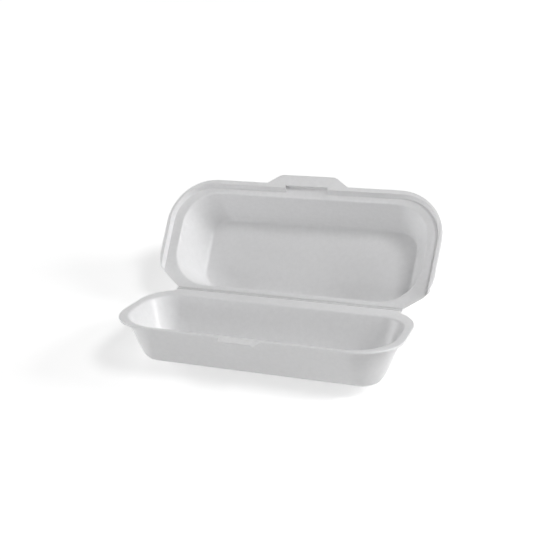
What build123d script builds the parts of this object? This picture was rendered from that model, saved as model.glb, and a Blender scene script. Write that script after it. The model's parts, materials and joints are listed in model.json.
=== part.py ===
"""Foam clamshell container: a long tray and its lid, moulded as one sheet with a living hinge.

The box is modelled open and empty. Its lid is heavier to the back than the tray is to the front,
so it lies tipped back on the tray's rear floor edge and the lid's hinge-side panel edge.
Millimetres, +Z up, +X along the hinge, the lid to the back at +Y.
"""

import os
from math import asin, atan2, cos, hypot, radians, sin, tan

from build123d import *

# Foam sheet
wall = 2.0
rim_thickness = 1.8
edge_round = 0.6
cut_overrun = 3.0

# Hinge: the sheet is pressed thin along a straight line behind the tray
hinge_strip_width = 8.4
hinge_strip_thickness = 1.3
hinge_strip_recess = 0.4
hinge_gap = 0.3
hinge_half_length = 91.4
hinge_notch_half = 90.4
hinge_notch_back = 2.8
lid_opening_degrees = 127.9

# Tray rim, seen from above with its front edge toward -Y
tray_height = 35.0
rim_half_length = 109.9
rim_front_y = -39.6
rim_back_y = 38.1
rim_end_taper = 2.6
shoulder_cut_x = 14.0
shoulder_cut_y = 10.6
rim_front_radius = 30.5
rim_shoulder_radius = 28.0

# Tray mouth and floor, inside the sheet
rim_end_width = 7.2
rim_front_width = 2.8
rim_back_width = 8.4
mouth_end_taper = 1.6
mouth_front_radius = 31.0
mouth_back_radius = 23.0
mouth_round = 2.4
tray_end_degrees = 20.5
tray_side_degrees = 26.5
floor_corner = 13.0
floor_round = 10.0

# Catch: a lip that runs out and down from the tray's front rim, with a small hook near one end
catch_start = -17.0
catch_end = 14.0
catch_flare = 2.6
catch_drop = 1.2
catch_thickness = 3.0
hook_length = 6.6
hook_tip = 4.8
hook_drop = 1.0
hook_rise = 1.4

# Skirt: the lid's edge steps up round the front and the ends, and wraps the tray's rim
seat_gap = 0.3
skirt_height = 4.5
skirt_clearance = 0.1
skirt_end_slope = 1.3
skirt_front_slope = 2.0
lip_end_width = 2.9
lip_front_width = 3.6

# Lid outline beyond the tray's: its taper, its shoulders nearer the hinge, its wider corners
lid_end_taper = 2.6
lid_shoulder_shift = 4.2
lid_front_radius = 37.3
lid_shoulder_radius = 22.0

# Lid mouth and top panel, inside the sheet
flange_end_width = 8.8
flange_front_width = 4.4
flange_hinge_width = 3.4
lid_mouth_end_taper = 1.8
lid_mouth_front_radius = 27.0
lid_mouth_back_radius = 30.0
lid_mouth_round = 1.8
lid_depth = 31.9
lid_end_degrees = 22.0
lid_front_degrees = 16.8
lid_hinge_degrees = 14.7
panel_corner = 15.0
panel_round = 3.0

# Lifting tab on the skirt's lip, and the slot that the catch snaps into
tab_half_root = 33.5
tab_half_tip = 22.5
tab_length = 7.6
tab_corner_radius = 8.0
slot_half = 17.6
slot_width = 4.1
slot_ledge_front = 1.2
slot_ledge_end = 3.2
slot_ledge_rise = 1.5

# Sizes that follow for the tray
rim_half_shoulder = rim_half_length - rim_end_taper
rim_half_back = rim_half_shoulder - shoulder_cut_x
rim_shoulder_y = rim_back_y - shoulder_cut_y
rim_foot = tray_height - rim_thickness
mouth_half_front = rim_half_length - rim_end_width
mouth_half_back = mouth_half_front - mouth_end_taper
mouth_front_y = rim_front_y + rim_front_width
mouth_back_y = rim_back_y - rim_back_width
hinge_y = rim_back_y + hinge_strip_width
catch_outer_y = rim_front_y - catch_flare
catch_foot_z = rim_foot - catch_drop
catch_slope = catch_flare / (tray_height - edge_round - catch_foot_z)
hook_foot_z = catch_foot_z - hook_drop
hook_outer_y = catch_outer_y - catch_slope * hook_drop

# Sizes that follow for the lid. It is drawn mouth up, front toward -Y, hinge at y = 0.
rim_reach = hinge_y - rim_front_y
seam_height = tray_height + seat_gap
lip_foot = skirt_height - rim_thickness
lid_half_front = rim_half_length + skirt_clearance + skirt_end_slope + lip_end_width
lid_half_shoulder = lid_half_front - lid_end_taper
lid_length = rim_reach + skirt_clearance + skirt_front_slope + lip_front_width
lid_shoulder_length = hinge_y - rim_shoulder_y - lid_shoulder_shift
lid_mouth_half_front = rim_half_length - flange_end_width
lid_mouth_half_back = lid_mouth_half_front - lid_mouth_end_taper
lid_mouth_front = rim_reach - flange_front_width
lid_mouth_hinge = flange_hinge_width
lid_sheet_depth = lid_depth + wall


def lean_over(depth, degrees):
    """How far a wall that leans by that angle comes in over a depth."""
    return depth * tan(radians(degrees))


def sheet_level(degrees):
    """Level distance between the two faces of a leaning wall."""
    return wall / cos(radians(degrees))


def round_reach(radius, degrees):
    """From the corner of a leaning wall and a floor to the end of the round between them."""
    return radius * tan(radians(90 - degrees) / 2)


# Rest pose. The outer rounds at the tray's rear floor edge and at the lid's hinge-side panel edge
# both touch the ground, so the tilt is that of their common tangent.
opening = radians(lid_opening_degrees)
lid_along = (-cos(opening), sin(opening))
lid_inward = (-sin(opening), -cos(opening))

floor_round_y = (
    mouth_back_y
    + sheet_level(tray_side_degrees)
    - lean_over(tray_height, tray_side_degrees)
    - round_reach(floor_round, tray_side_degrees)
)
panel_outer_round = panel_round + wall
panel_round_along = (
    lid_mouth_hinge
    - sheet_level(lid_hinge_degrees)
    + lean_over(lid_sheet_depth, lid_hinge_degrees)
    + round_reach(panel_outer_round, lid_hinge_degrees)
)
panel_round_in = panel_outer_round - lid_sheet_depth
panel_round_y = hinge_y + panel_round_along * lid_along[0] + panel_round_in * lid_inward[0]
panel_round_z = seam_height + panel_round_along * lid_along[1] + panel_round_in * lid_inward[1]
apart_y = panel_round_y - floor_round_y
apart_z = panel_round_z - floor_round
tilt = atan2(apart_z, apart_y) + asin((floor_round - panel_outer_round) / hypot(apart_y, apart_z))


def tipped(y, z):
    """A y and z of the level tray, as the tipped-back box has them."""
    return (y * cos(tilt) + z * sin(tilt), z * cos(tilt) - y * sin(tilt))


def on_lid(along, inward):
    """A place on the lid, by its distance from the hinge and its height toward the inside."""
    return tipped(
        hinge_y + along * lid_along[0] + inward * lid_inward[0],
        seam_height + along * lid_along[1] + inward * lid_inward[1],
    )


# The origin is on the ground, under the middle of the box from front to back.
front_reach = tipped(hook_outer_y, hook_foot_z)[0]
panel_front_along = (
    lid_mouth_front
    + sheet_level(lid_front_degrees)
    - lean_over(lid_sheet_depth, lid_front_degrees)
    - round_reach(panel_outer_round, lid_front_degrees)
)
back_reach = max(
    on_lid(lid_length + tab_length - edge_round, lip_foot + edge_round)[0] + edge_round,
    on_lid(panel_front_along, panel_round_in)[0] + panel_outer_round,
)
middle_y = (front_reach + back_reach) / 2
ground_z = tipped(floor_round_y, floor_round)[1] - floor_round

tray_up = tipped(0, 1)
lid_up = tipped(lid_inward[0], lid_inward[1])
hinge_place = tipped(hinge_y, seam_height)
tray_datum = Plane(
    origin=(0, -middle_y, -ground_z),
    x_dir=(1, 0, 0),
    z_dir=(0, tray_up[0], tray_up[1]),
)
lid_datum = Plane(
    origin=(0, hinge_place[0] - middle_y, hinge_place[1] - ground_z),
    x_dir=(-1, 0, 0),
    z_dir=(0, lid_up[0], lid_up[1]),
)
tray_upward = Axis(tray_datum.origin, tray_datum.z_dir)
lid_upward = Axis(lid_datum.origin, lid_datum.z_dir)
lid_backward = Axis(lid_datum.origin, lid_datum.y_dir)


def tub_section(half_front, half_back, front, back, front_radius, back_radius):
    """Level section of a tub: four sides, with one radius at the front and one at the back."""
    with BuildSketch() as section:
        with BuildLine():
            Polyline(
                (-half_front, front),
                (half_front, front),
                (half_back, back),
                (-half_back, back),
                close=True,
            )
        make_face()
        fillet(section.vertices().group_by(Axis.Y)[0], radius=front_radius)
        fillet(section.vertices().group_by(Axis.Y)[-1], radius=back_radius)
    return section.sketch


def rim_outline(half_front, half_shoulder, half_back, front, shoulder, back, front_radius, shoulder_radius):
    """Outline of a rim: rounded at the front, cut off slantwise at its two hinge-side corners."""
    with BuildSketch() as outline:
        with BuildLine():
            Polyline(
                (-half_front, front),
                (half_front, front),
                (half_shoulder, shoulder),
                (half_back, back),
                (-half_back, back),
                (-half_shoulder, shoulder),
                close=True,
            )
        make_face()
        fillet(outline.vertices().group_by(Axis.Y)[1], radius=shoulder_radius)
        fillet(outline.vertices().group_by(Axis.Y)[0], radius=front_radius)
    return outline.sketch


# Tray cavity: leaning walls with a round at the floor
tray_depth = tray_height - wall
end_lean = lean_over(tray_depth, tray_end_degrees)
side_lean = lean_over(tray_depth, tray_side_degrees)
with BuildPart() as tray_cavity:
    with BuildSketch(tray_datum.offset(wall)):
        add(
            tub_section(
                mouth_half_front - end_lean,
                mouth_half_back - end_lean,
                mouth_front_y + side_lean,
                mouth_back_y - side_lean,
                floor_corner - wall,
                floor_corner - wall,
            )
        )
    with BuildSketch(tray_datum.offset(tray_height)):
        add(
            tub_section(
                mouth_half_front,
                mouth_half_back,
                mouth_front_y,
                mouth_back_y,
                mouth_front_radius,
                mouth_back_radius,
            )
        )
    loft(ruled=True)
    fillet(faces().sort_by(tray_upward)[0].edges(), radius=floor_round - wall)

# Catch: the slanting lip, seen from the end of the tray, cut to its outline as seen from the front
tray_across = Plane(origin=tray_datum.origin, x_dir=tray_datum.y_dir, z_dir=tray_datum.x_dir)
tray_front = Plane(origin=tray_datum.origin, x_dir=tray_datum.x_dir, z_dir=-tray_datum.y_dir)
with BuildPart() as catch:
    with BuildSketch(tray_across.offset(catch_start)):
        with BuildLine():
            Polyline(
                (rim_front_y, tray_height - edge_round),
                (hook_outer_y, hook_foot_z),
                (hook_outer_y + catch_thickness, hook_foot_z),
                (rim_front_y + catch_thickness, tray_height - edge_round),
                close=True,
            )
        make_face()
    extrude(amount=catch_end - catch_start)
    with BuildSketch(tray_front.offset(-rim_front_y - catch_thickness)):
        with BuildLine():
            Polyline(
                (catch_start, tray_height),
                (catch_start, catch_foot_z),
                (catch_end - hook_length, catch_foot_z),
                (catch_end - hook_tip, hook_foot_z),
                (catch_end, catch_foot_z + hook_rise),
                (catch_end, tray_height),
                close=True,
            )
        make_face()
    extrude(amount=rim_front_y - hook_outer_y + catch_thickness, mode=Mode.INTERSECT)

# Tray: the tub with its rim, then the hinge strip and the catch
end_level = sheet_level(tray_end_degrees)
side_level = sheet_level(tray_side_degrees)
outer_end_lean = lean_over(tray_height, tray_end_degrees) - end_level
outer_side_lean = lean_over(tray_height, tray_side_degrees) - side_level
with BuildPart() as tray:
    with BuildSketch(tray_datum.offset(rim_foot)):
        add(
            rim_outline(
                rim_half_length,
                rim_half_shoulder,
                rim_half_back,
                rim_front_y,
                rim_shoulder_y,
                rim_back_y,
                rim_front_radius,
                rim_shoulder_radius,
            )
        )
    extrude(amount=rim_thickness)
    rim_faces = faces().sort_by(tray_upward)
    fillet(rim_faces[0].edges() + rim_faces[-1].edges(), radius=edge_round)
    with BuildSketch(tray_datum):
        add(
            tub_section(
                mouth_half_front - outer_end_lean,
                mouth_half_back - outer_end_lean,
                mouth_front_y + outer_side_lean,
                mouth_back_y - outer_side_lean,
                floor_corner,
                floor_corner,
            )
        )
    with BuildSketch(tray_datum.offset(tray_height)):
        add(
            tub_section(
                mouth_half_front + end_level,
                mouth_half_back + end_level,
                mouth_front_y - side_level,
                mouth_back_y + side_level,
                mouth_front_radius + wall,
                mouth_back_radius + wall,
            )
        )
    loft(ruled=True)
    fillet(faces().sort_by(tray_upward)[0].edges(), radius=floor_round)
    add(tray_cavity.part, mode=Mode.SUBTRACT)
    fillet(faces().sort_by(tray_upward)[-1].inner_wires()[0].edges(), radius=mouth_round)
    with BuildSketch(tray_datum.offset(tray_height - hinge_strip_recess)):
        with BuildLine():
            Polyline(
                (-rim_half_back, rim_back_y - wall),
                (-rim_half_back, rim_back_y),
                (-hinge_notch_half, rim_back_y + hinge_notch_back),
                (-hinge_half_length, hinge_y - hinge_gap / 2),
                (hinge_half_length, hinge_y - hinge_gap / 2),
                (hinge_notch_half, rim_back_y + hinge_notch_back),
                (rim_half_back, rim_back_y),
                (rim_half_back, rim_back_y - wall),
                close=True,
            )
        make_face()
    extrude(amount=-hinge_strip_thickness)
    add(catch.part)

# Lid cavity: the tub's leaning walls with a crisp round at the top panel
lid_end_lean = lean_over(lid_depth, lid_end_degrees)
lid_front_lean = lean_over(lid_depth, lid_front_degrees)
lid_hinge_lean = lean_over(lid_depth, lid_hinge_degrees)
with BuildPart() as lid_cavity:
    with BuildSketch(lid_datum.offset(-lid_depth)):
        add(
            tub_section(
                lid_mouth_half_front - lid_end_lean,
                lid_mouth_half_back - lid_end_lean,
                lid_front_lean - lid_mouth_front,
                -lid_hinge_lean - lid_mouth_hinge,
                panel_corner,
                panel_corner,
            )
        )
    with BuildSketch(lid_datum):
        add(
            tub_section(
                lid_mouth_half_front,
                lid_mouth_half_back,
                -lid_mouth_front,
                -lid_mouth_hinge,
                lid_mouth_front_radius,
                lid_mouth_back_radius,
            )
        )
    loft(ruled=True)
    fillet(faces().sort_by(lid_upward)[0].edges(), radius=panel_round)

# Skirt: the step's inner face follows the tray's rim, and runs straight out past the hinge
rim_slant = rim_end_taper / (rim_shoulder_y - rim_front_y)
past_hinge = rim_shoulder_radius


def step_section(end_outset, front_outset):
    """Level section of the space inside the step, open toward the hinge."""
    front = rim_reach + front_outset
    half_front = rim_half_length + end_outset
    half_back = half_front - rim_slant * (front + past_hinge)
    with BuildSketch() as section:
        with BuildLine():
            Polyline(
                (-half_front, -front),
                (half_front, -front),
                (half_back, past_hinge),
                (-half_back, past_hinge),
                close=True,
            )
        make_face()
        fillet(section.vertices().group_by(Axis.Y)[0], radius=rim_front_radius + end_outset)
    return section.sketch


step_end_level = wall * hypot(skirt_height, skirt_end_slope) / skirt_height
step_front_level = wall * hypot(skirt_height, skirt_front_slope) / skirt_height
with BuildPart() as skirt_inside:
    with BuildSketch(lid_datum):
        add(step_section(skirt_clearance, skirt_clearance))
    with BuildSketch(lid_datum.offset(2 * skirt_height)):
        add(step_section(skirt_clearance + 2 * skirt_end_slope, skirt_clearance + 2 * skirt_front_slope))
    loft(ruled=True)

# The step's outer face is the same shape one sheet further out; what lies outside it is cut away
with BuildPart() as skirt_outside:
    with BuildSketch(lid_datum.offset(lip_foot)):
        Rectangle(4 * lid_half_front, 4 * lid_length)
    extrude(amount=-lip_foot - rim_thickness - cut_overrun)
    with BuildSketch(lid_datum.offset(-skirt_height)):
        add(
            step_section(
                skirt_clearance - skirt_end_slope + step_end_level,
                skirt_clearance - skirt_front_slope + step_front_level,
            )
        )
    with BuildSketch(lid_datum.offset(skirt_height)):
        add(
            step_section(
                skirt_clearance + skirt_end_slope + step_end_level,
                skirt_clearance + skirt_front_slope + step_front_level,
            )
        )
    loft(ruled=True, mode=Mode.SUBTRACT)

# Lifting tab: a short tongue that runs out from the skirt's lip
with BuildPart() as tab:
    with BuildSketch(lid_datum.offset(lip_foot)):
        with BuildLine():
            Polyline(
                (-tab_half_root, wall - lid_length),
                (-tab_half_root, -lid_length),
                (-tab_half_tip, -lid_length - tab_length),
                (tab_half_tip, -lid_length - tab_length),
                (tab_half_root, -lid_length),
                (tab_half_root, wall - lid_length),
                close=True,
            )
        make_face()
        fillet(vertices().group_by(Axis.Y)[0], radius=tab_corner_radius)
    extrude(amount=rim_thickness)
    tab_far = -lid_length - 2 * tab_length
    tab_edges = edges().filter_by_position(lid_backward, tab_far, -lid_length + edge_round)
    fillet(tab_edges.filter_by(lid_upward, reverse=True), radius=edge_round)

# Lid: the flange with its skirt, lip and tab, then the tub below it
lid_end_level = sheet_level(lid_end_degrees)
lid_front_level = sheet_level(lid_front_degrees)
lid_hinge_level = sheet_level(lid_hinge_degrees)
panel_end_lean = lean_over(lid_sheet_depth, lid_end_degrees) - lid_end_level
panel_front_lean = lean_over(lid_sheet_depth, lid_front_degrees) - lid_front_level
panel_hinge_lean = lean_over(lid_sheet_depth, lid_hinge_degrees) - lid_hinge_level
slot_near = rim_reach + skirt_clearance
ledge_front = slot_near + slot_width + slot_ledge_front
lid_across = Plane(origin=lid_datum.origin, x_dir=lid_datum.y_dir, z_dir=lid_datum.x_dir)
with BuildPart() as lid:
    with BuildSketch(lid_datum.offset(-rim_thickness)):
        add(
            rim_outline(
                lid_half_front,
                lid_half_shoulder,
                hinge_half_length,
                -lid_length,
                -lid_shoulder_length,
                -hinge_gap / 2,
                lid_front_radius,
                lid_shoulder_radius,
            )
        )
    extrude(amount=rim_thickness + skirt_height)
    lid_rim_faces = faces().sort_by(lid_upward)
    fillet(lid_rim_faces[0].edges() + lid_rim_faces[-1].edges(), radius=edge_round)
    add(skirt_inside.part, mode=Mode.SUBTRACT)
    add(skirt_outside.part, mode=Mode.SUBTRACT)
    with BuildSketch(lid_datum.offset(-lid_sheet_depth)):
        add(
            tub_section(
                lid_mouth_half_front - panel_end_lean,
                lid_mouth_half_back - panel_end_lean,
                panel_front_lean - lid_mouth_front,
                -panel_hinge_lean - lid_mouth_hinge,
                panel_corner + wall,
                panel_corner + wall,
            )
        )
    with BuildSketch(lid_datum):
        add(
            tub_section(
                lid_mouth_half_front + lid_end_level,
                lid_mouth_half_back + lid_end_level,
                -lid_mouth_front - lid_front_level,
                -lid_mouth_hinge + lid_hinge_level,
                lid_mouth_front_radius + wall,
                lid_mouth_back_radius + wall,
            )
        )
    loft(ruled=True)
    fillet(faces().sort_by(lid_upward)[0].edges(), radius=panel_outer_round)
    add(lid_cavity.part, mode=Mode.SUBTRACT)
    flange = faces().filter_by_position(lid_upward, -edge_round, edge_round).sort_by(SortBy.AREA)[-1]
    fillet(flange.inner_wires()[0].edges(), radius=lid_mouth_round)
    add(tab.part)
    with BuildSketch(lid_datum):
        with Locations((0, -slot_near)):
            Rectangle(2 * slot_half, slot_width, align=(Align.CENTER, Align.MAX))
    extrude(amount=skirt_height + cut_overrun, mode=Mode.SUBTRACT)
    with BuildSketch(lid_across):
        with BuildLine():
            Polyline(
                (-slot_near, -rim_thickness),
                (-slot_near, 0),
                (-ledge_front, slot_ledge_rise),
                (-ledge_front, slot_ledge_rise - rim_thickness),
                close=True,
            )
        make_face()
    extrude(amount=slot_half + slot_ledge_end, both=True)

os.makedirs("parts", exist_ok=True)
tray.part.label = "tray"
export_step(tray.part, "parts/tray.step")
lid.part.label = "lid"
export_step(lid.part, "parts/lid.step")
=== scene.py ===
"""Scene of the foam clamshell container: its foam, its living hinge, the studio and the camera."""

import json
from math import cos, radians, sin

import bmesh
import bpy
from mathutils import Euler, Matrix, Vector


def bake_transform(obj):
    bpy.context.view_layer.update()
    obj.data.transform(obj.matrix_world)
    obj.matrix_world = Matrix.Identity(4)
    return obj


MM = 0.001

# Camera: place in metres and turn in degrees, fitted to the photograph's outline
CAMERA_PLACE = (0.27075, -0.55107, 0.49108)
CAMERA_TURN = (53.200, 8.782, 19.723)
CAMERA_LENS = 65.434
CAMERA_NEAR = 0.01
CAMERA_FAR = 20

# Floor: its reach, its tone, and how much it is lifted near the box and far from it
FLOOR_HALF = 3.0
FLOOR_TONE = 0.80
FLOOR_LIFT = 0.55
FLOOR_FAR_LIFT = 0.86
FLOOR_NEAR = 0.35
FLOOR_FAR = 1.5

# Surroundings: light from the horizon, light from above, and the height where it has turned
WORLD_LOW = 0.20
WORLD_HIGH = 0.05
WORLD_TURN = 0.5

# Soft boxes: name, place in metres, width in metres and power in watts
LIGHT_AIM = (0, 0, 0.03)
LIGHTS = (
    ("key_low", (1.2, 0.25, 0.6), 0.40, 8.5),
    ("key_high", (0.82, -0.1, 1.2), 0.34, 6.7),
    ("fill_left", (-1.35, -0.1, 0.45), 0.7, 6.3),
    ("fill_front", (-0.7, -1.3, 0.3), 0.7, 6.1),
    ("rim_back", (0.3, 1.2, 1.0), 0.7, 1.0),
)

# Foam: cells, mottle and gentle waves of the formed sheet, its tone and its satin skin
CELL_SIZE = 1.1 * MM
MOTTLE_SIZE = 3.2 * MM
WAVE_SIZE = 22 * MM
EDGE_ROUND = 0.45 * MM
FOAM_TONE = (0.862, 0.862, 0.868)
FOAM_ROUGHNESS = 0.30
# The hinge web: a darker tone that is painted shade for the crease, and the web's roughness
CREASE_PAINTED_SHADE_TONE = (0.775, 0.775, 0.78)
PRESSED_ROUGHNESS = 0.4

# Smooth shading: edges up to this angle in degrees, and how near points are welded
SMOOTH_ANGLE = 28
WELD_REACH = 0.002 * MM

# Hinge skin: the thin web left where the sheet is pressed to a crease
HINGE_HALF = 91.4 * MM
HINGE_OPEN = 52.1
TRAY_TILT = 18.972
LID_TILT = HINGE_OPEN - TRAY_TILT
WEB_THICKNESS = 0.7 * MM
WEB_TOP = 0.3 * MM
WEB_REACH = 2.4 * MM
WEB_BEND = 0.6 * MM
WEB_STEPS = 12


def node_tree(name):
    """A new material with an empty node tree, and that tree."""
    material = bpy.data.materials.new(name)
    material.use_nodes = True
    tree = material.node_tree
    tree.nodes.clear()
    return material, tree


def add_node(tree, kind, inputs=(), **settings):
    """Adds a shader node, sets its properties and input values, and returns it."""
    node = tree.nodes.new(kind)
    for key, value in settings.items():
        setattr(node, key, value)
    for key, value in dict(inputs).items():
        node.inputs[key].default_value = value
    return node


def join(tree, out_node, out_name, in_node, in_name):
    tree.links.new(out_node.outputs[out_name], in_node.inputs[in_name])


def foam_material(name, tone, roughness):
    """Extruded foam sheet: fine cells under a satin skin, on gently uneven walls."""
    material, tree = node_tree(name)
    output = add_node(tree, "ShaderNodeOutputMaterial")
    foam = add_node(
        tree,
        "ShaderNodeBsdfPrincipled",
        {
            "Subsurface Weight": 0.12,
            "Subsurface Radius": (1.0, 1.0, 1.0),
            "Subsurface Scale": 1.5 * MM,
            "IOR": 1.45,
            "Specular IOR Level": 0.5,
            "Sheen Weight": 0.0,
        },
    )
    place = add_node(tree, "ShaderNodeTexCoord")
    cells = add_node(
        tree,
        "ShaderNodeTexVoronoi",
        {"Scale": 1 / CELL_SIZE, "Smoothness": 0.6, "Randomness": 1.0},
        feature="SMOOTH_F1",
    )
    mottle = add_node(
        tree, "ShaderNodeTexNoise", {"Scale": 1 / MOTTLE_SIZE, "Detail": 3.0, "Roughness": 0.6}
    )
    waves = add_node(
        tree, "ShaderNodeTexNoise", {"Scale": 1 / WAVE_SIZE, "Detail": 2.0, "Roughness": 0.45}
    )
    for texture in (cells, mottle, waves):
        join(tree, place, "Object", texture, "Vector")

    shade = add_node(
        tree,
        "ShaderNodeMapRange",
        {"From Min": 0.3, "From Max": 0.7, "To Min": 0.975, "To Max": 1.015},
    )
    join(tree, mottle, "Fac", shade, "Value")
    colour = add_node(tree, "ShaderNodeVectorMath", {0: tone}, operation="SCALE")
    join(tree, shade, "Result", colour, "Scale")
    join(tree, colour, "Vector", foam, "Base Color")

    gloss = add_node(
        tree,
        "ShaderNodeMapRange",
        {"From Min": 0.25, "From Max": 0.75, "To Min": roughness - 0.02, "To Max": roughness + 0.04},
    )
    join(tree, mottle, "Fac", gloss, "Value")
    join(tree, gloss, "Result", foam, "Roughness")

    rounded = add_node(tree, "ShaderNodeBevel", {"Radius": EDGE_ROUND}, samples=4)
    wave_bump = add_node(tree, "ShaderNodeBump", {"Strength": 0.5, "Distance": 0.35 * MM})
    mottle_bump = add_node(tree, "ShaderNodeBump", {"Strength": 0.22, "Distance": 0.05 * MM})
    cell_bump = add_node(tree, "ShaderNodeBump", {"Strength": 0.15, "Distance": 0.03 * MM})
    join(tree, waves, "Fac", wave_bump, "Height")
    join(tree, rounded, "Normal", wave_bump, "Normal")
    join(tree, mottle, "Fac", mottle_bump, "Height")
    join(tree, wave_bump, "Normal", mottle_bump, "Normal")
    join(tree, cells, "Distance", cell_bump, "Height")
    join(tree, mottle_bump, "Normal", cell_bump, "Normal")
    join(tree, cell_bump, "Normal", foam, "Normal")
    join(tree, foam, "BSDF", output, "Surface")
    return material


def smooth_by_angle():
    """A node group that shades a mesh smooth but for its sharp edges."""
    group = bpy.data.node_groups.new("smooth_by_angle", "GeometryNodeTree")
    group.is_modifier = True
    group.interface.new_socket("Geometry", in_out="INPUT", socket_type="NodeSocketGeometry")
    group.interface.new_socket("Geometry", in_out="OUTPUT", socket_type="NodeSocketGeometry")
    source = group.nodes.new("NodeGroupInput")
    result = group.nodes.new("NodeGroupOutput")
    weld = group.nodes.new("GeometryNodeMergeByDistance")
    weld.inputs["Distance"].default_value = WELD_REACH
    angle = group.nodes.new("GeometryNodeInputMeshEdgeAngle")
    flat_enough = group.nodes.new("FunctionNodeCompare")
    flat_enough.operation = "LESS_THAN"
    flat_enough.inputs[1].default_value = radians(SMOOTH_ANGLE)
    faces = group.nodes.new("GeometryNodeSetShadeSmooth")
    faces.domain = "FACE"
    edges = group.nodes.new("GeometryNodeSetShadeSmooth")
    edges.domain = "EDGE"
    link = group.links.new
    link(source.outputs[0], weld.inputs["Geometry"])
    link(weld.outputs[0], faces.inputs["Geometry"])
    link(faces.outputs[0], edges.inputs["Geometry"])
    link(angle.outputs["Unsigned Angle"], flat_enough.inputs[0])
    link(flat_enough.outputs[0], edges.inputs["Shade Smooth"])
    link(edges.outputs[0], result.inputs[0])
    return group


def dress(node, material, smoothing):
    """Gives a CAD node its material and smooth shading."""
    node.data.materials.clear()
    node.data.materials.append(material)
    node.modifiers.new("smooth", "NODES").node_group = smoothing


def hinge_skin(material):
    """The crease of the one foam sheet, which closes the line between tray and lid."""
    joint = frame["joints"][0]
    axis_at = Vector(joint["pos_m"])
    bm = bmesh.new()
    rings = []
    for i in range(WEB_STEPS + 1):
        along = -WEB_REACH + 2 * WEB_REACH * i / WEB_STEPS
        share = min(max((along + WEB_BEND) / (2 * WEB_BEND), 0.0), 1.0)
        share = share * share * (3 - 2 * share)
        tilt = radians(-TRAY_TILT + (TRAY_TILT + LID_TILT) * share)
        ring = []
        for x, height in (
            (-HINGE_HALF, -WEB_TOP),
            (HINGE_HALF, -WEB_TOP),
            (HINGE_HALF, -WEB_TOP - WEB_THICKNESS),
            (-HINGE_HALF, -WEB_TOP - WEB_THICKNESS),
        ):
            y = along * cos(tilt) - height * sin(tilt)
            z = along * sin(tilt) + height * cos(tilt)
            ring.append(bm.verts.new(axis_at + Vector((x, y, z))))
        rings.append(ring)
    for a, b in zip(rings, rings[1:]):
        for k in range(4):
            bm.faces.new((a[k], a[(k + 1) % 4], b[(k + 1) % 4], b[k]))
    bm.faces.new(rings[0][::-1])
    bm.faces.new(rings[-1])
    bmesh.ops.recalc_face_normals(bm, faces=bm.faces)
    mesh = bpy.data.meshes.new("hinge_skin")
    bm.to_mesh(mesh)
    bm.free()
    skin = bpy.data.objects.new("hinge_skin", mesh)
    bpy.context.scene.collection.objects.link(skin)
    mesh.materials.append(material)
    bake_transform(skin)


def floor_material():
    """A pale matt floor, lifted towards white for the camera and for reflections, so its shadows stay."""
    material, tree = node_tree("floor_white")
    output = add_node(tree, "ShaderNodeOutputMaterial")
    tone = (FLOOR_TONE, FLOOR_TONE, FLOOR_TONE, 1.0)
    matt = add_node(tree, "ShaderNodeBsdfDiffuse", {"Color": tone})
    lift = add_node(tree, "ShaderNodeEmission", {"Color": (1.0, 1.0, 1.0, 1.0)})
    total = add_node(tree, "ShaderNodeAddShader")
    place = add_node(tree, "ShaderNodeTexCoord")
    reach = add_node(tree, "ShaderNodeVectorMath", operation="LENGTH")
    fade = add_node(
        tree,
        "ShaderNodeMapRange",
        {"From Min": FLOOR_NEAR, "From Max": FLOOR_FAR, "To Min": FLOOR_LIFT, "To Max": FLOOR_FAR_LIFT},
    )
    shown = add_node(tree, "ShaderNodeMath", operation="MULTIPLY")
    join(tree, place, "Object", reach, "Vector")
    join(tree, reach, "Value", fade, "Value")
    join(tree, seen_share(tree), "Value", shown, 0)
    join(tree, fade, "Result", shown, 1)
    join(tree, shown, "Value", lift, "Strength")
    join(tree, matt, "BSDF", total, 0)
    join(tree, lift, "Emission", total, 1)
    join(tree, total, "Shader", output, "Surface")
    return material


def seen_share(tree):
    """One where the camera or a mirror-like reflection looks, and zero for the light itself."""
    path = add_node(tree, "ShaderNodeLightPath")
    either = add_node(tree, "ShaderNodeMath", operation="MAXIMUM")
    any_of = add_node(tree, "ShaderNodeMath", operation="MAXIMUM")
    join(tree, path, "Is Camera Ray", either, 0)
    join(tree, path, "Is Glossy Ray", either, 1)
    join(tree, either, "Value", any_of, 0)
    join(tree, path, "Is Transmission Ray", any_of, 1)
    return any_of


def make_floor():
    """A plain pale floor under the box."""
    mesh = bpy.data.meshes.new("floor")
    corners = [(x * FLOOR_HALF, y * FLOOR_HALF, 0) for x, y in ((-1, -1), (1, -1), (1, 1), (-1, 1))]
    mesh.from_pydata(corners, [], [(0, 1, 2, 3)])
    floor = bpy.data.objects.new("floor", mesh)
    bpy.context.scene.collection.objects.link(floor)
    mesh.materials.append(floor_material())


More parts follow.
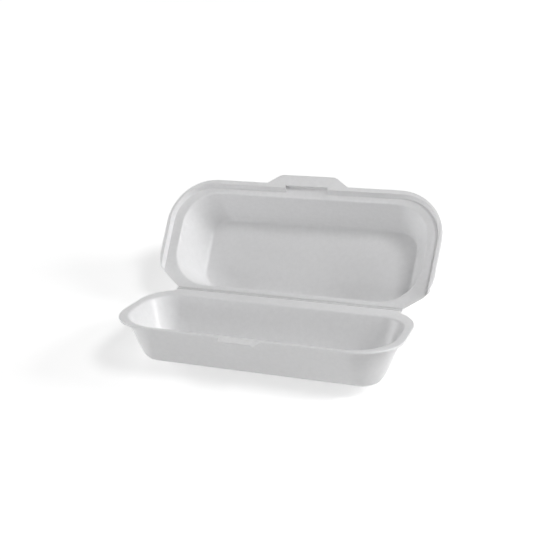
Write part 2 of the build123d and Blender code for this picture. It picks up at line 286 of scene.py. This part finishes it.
def make_world():
    """Surroundings that give the studio's general light, graded from the horizon up, and look white."""
    world = bpy.data.worlds.new("studio")
    bpy.context.scene.world = world
    world.use_nodes = True
    tree = world.node_tree
    tree.nodes.clear()
    output = add_node(tree, "ShaderNodeOutputWorld")
    light = add_node(tree, "ShaderNodeBackground", {"Color": (1.0, 1.0, 1.0, 1.0)})
    direction = add_node(tree, "ShaderNodeTexCoord")
    upward = add_node(tree, "ShaderNodeSeparateXYZ")
    graded = add_node(
        tree,
        "ShaderNodeMapRange",
        {"From Min": 0.0, "From Max": WORLD_TURN, "To Min": WORLD_LOW, "To Max": WORLD_HIGH},
    )
    unlit = add_node(tree, "ShaderNodeMath", {0: 1.0}, operation="SUBTRACT")
    lift = add_node(tree, "ShaderNodeMath", operation="MULTIPLY_ADD")
    join(tree, direction, "Generated", upward, "Vector")
    join(tree, upward, "Z", graded, "Value")
    join(tree, graded, "Result", unlit, 1)
    join(tree, unlit, "Value", lift, 0)
    join(tree, seen_share(tree), "Value", lift, 1)
    join(tree, graded, "Result", lift, 2)
    join(tree, lift, "Value", light, "Strength")
    join(tree, light, "Background", output, "Surface")


def soft_light(name, place, width, power):
    """A square soft box at a place, turned to face the box."""
    data = bpy.data.lights.new(name, "AREA")
    data.shape = "SQUARE"
    data.size = width
    data.energy = power
    light = bpy.data.objects.new(name, data)
    bpy.context.scene.collection.objects.link(light)
    light.location = place
    light.rotation_euler = (Vector(LIGHT_AIM) - Vector(place)).to_track_quat("-Z", "Y").to_euler()


def make_camera():
    """The camera at the photograph's viewing angle."""
    data = bpy.data.cameras.new("camera")
    data.lens = CAMERA_LENS
    data.clip_start = CAMERA_NEAR
    data.clip_end = CAMERA_FAR
    camera = bpy.data.objects.new("camera", data)
    bpy.context.scene.collection.objects.link(camera)
    camera.location = CAMERA_PLACE
    camera.rotation_euler = Euler([radians(a) for a in CAMERA_TURN])
    bpy.context.scene.camera = camera


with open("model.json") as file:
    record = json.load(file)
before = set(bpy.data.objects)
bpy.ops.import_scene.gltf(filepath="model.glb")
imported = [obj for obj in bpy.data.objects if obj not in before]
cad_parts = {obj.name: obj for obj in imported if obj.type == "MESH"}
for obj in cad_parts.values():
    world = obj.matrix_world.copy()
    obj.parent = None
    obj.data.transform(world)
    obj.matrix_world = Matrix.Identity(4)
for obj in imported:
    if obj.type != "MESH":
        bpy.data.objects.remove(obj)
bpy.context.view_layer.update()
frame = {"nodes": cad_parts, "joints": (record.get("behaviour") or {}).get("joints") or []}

foam = foam_material("foam", FOAM_TONE, FOAM_ROUGHNESS)
# A darker copy of the foam for the hinge web: its tone is painted shade for the crease
crease_shade_foam = foam_material("foam_crease_painted_shade", CREASE_PAINTED_SHADE_TONE, PRESSED_ROUGHNESS)
smoothing = smooth_by_angle()
for node in frame["nodes"].values():
    dress(node, foam, smoothing)
# The hinge web takes the darker copy, painted shade along the crease
hinge_skin(crease_shade_foam)

make_floor()
make_world()
for name, place, width, power in LIGHTS:
    soft_light(name, place, width, power)
make_camera()
bpy.context.scene.view_settings.view_transform = "Standard"
